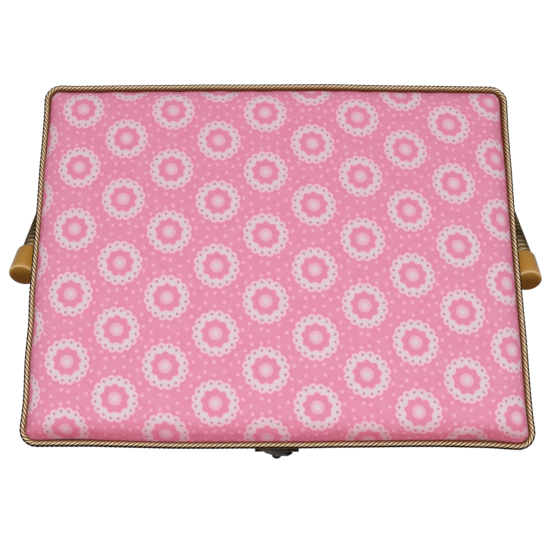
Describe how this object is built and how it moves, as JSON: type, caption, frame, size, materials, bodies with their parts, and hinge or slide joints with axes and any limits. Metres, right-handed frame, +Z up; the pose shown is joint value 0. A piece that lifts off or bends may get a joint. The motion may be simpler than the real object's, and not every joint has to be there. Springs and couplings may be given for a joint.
{
  "type": "sewing box",
  "caption": "Fabric-covered sewing box with padded hinged lid, twisted cord trim, front hasp, wrapped bail handle and lift-out compartment tray.",
  "frame": {"origin": "middle of the box's underside, on the surface it stands on", "axes": "+X to the right along the long side, +Y from the front hasp to the back hinges, +Z up"},
  "size_m": [0.341, 0.2658, 0.1496],
  "materials": {
    "printed_cotton": "woven cotton, pink ground with a light scalloped-ring print",
    "trim_cord": "twisted three-strand cord, satin",
    "handle_cord": "fine wound cord, olive-brown and cream",
    "satin_lining": "satin, soft sheen",
    "greyboard": "grey pressed board, matte; stands for cardboard",
    "foam_pad": "soft wadding, matte",
    "antique_bronze": "dark antique bronze plating, worn bright at the edges",
    "plated_steel": "plated steel, satin",
    "cap_plastic": "tan moulded plastic, glossy",
    "tray_plastic": "off-white moulded plastic, satin"
  },
  "bodies": {
    "box": {"base_cover": "printed_cotton", "body_cover": "printed_cotton", "base_cord": "trim_cord", "stay_cord_left": "trim_cord", "stay_cord_right": "trim_cord", "body_lining": "satin_lining", "base_board": "greyboard", "body_shell": "greyboard", "tray_ledge_left": "greyboard", "tray_ledge_right": "greyboard", "hinge_body_leaf_left": "antique_bronze", "hinge_body_leaf_right": "antique_bronze", "hinge_pin_left": "antique_bronze", "hinge_pin_right": "antique_bronze", "latch_hook_plate": "antique_bronze", "pivot_spacer_left": "antique_bronze", "pivot_spacer_right": "antique_bronze", "hinge_body_nail_1": "antique_bronze", "hinge_body_nail_2": "antique_bronze", "hinge_body_nail_3": "antique_bronze", "hinge_body_nail_4": "antique_bronze", "latch_hook_nail_1": "antique_bronze", "latch_hook_nail_2": "antique_bronze", "pivot_bolt_left": "plated_steel", "pivot_bolt_right": "plated_steel", "pivot_washer_left": "plated_steel", "pivot_washer_right": "plated_steel"},
    "lid": {"lid_board": "greyboard", "lid_frame": "greyboard", "lid_padding": "foam_pad", "lid_cover": "printed_cotton", "lid_band_cover": "printed_cotton", "lid_cord": "trim_cord", "lid_lining": "satin_lining", "lid_pocket": "satin_lining", "pocket_elastic": "satin_lining", "pin_cushion": "printed_cotton", "latch_lid_plate": "antique_bronze", "latch_pin": "antique_bronze", "latch_lid_nail_1": "antique_bronze", "latch_lid_nail_2": "antique_bronze", "hinge_lid_leaf_left": "antique_bronze", "hinge_lid_leaf_right": "antique_bronze", "hinge_lid_nail_1": "antique_bronze", "hinge_lid_nail_2": "antique_bronze", "hinge_lid_nail_3": "antique_bronze", "hinge_lid_nail_4": "antique_bronze"},
    "latch_hasp": {"latch_hasp": "antique_bronze"},
    "handle": {"handle_core": "plated_steel", "handle_wrap": "handle_cord", "handle_cap_left": "cap_plastic", "handle_cap_right": "cap_plastic"},
    "tray": {"tray": "tray_plastic"}
  },
  "joints": [
    {"name": "lid_hinge", "type": "hinge", "parent": "box", "child": "lid", "pos_m": [0, 0.1155, 0.1282], "axis": [-1, 0, 0], "range_deg": [0, 105], "deforming": ["stay_cord_left", "stay_cord_right"]},
    {"name": "latch_swing", "type": "hinge", "parent": "lid", "child": "latch_hasp", "pos_m": [0, -0.1152, 0.1298], "axis": [-1, 0, 0], "range_deg": [0, 120]},
    {"name": "handle_swing", "type": "hinge", "parent": "box", "child": "handle", "pos_m": [0, 0, 0.118], "axis": [1, 0, 0], "range_deg": [-4, 250]},
    {"name": "tray_lift", "type": "slide", "parent": "box", "child": "tray", "axis": [0, 0, 1], "range_m": [0, 0.008]}
  ]
}
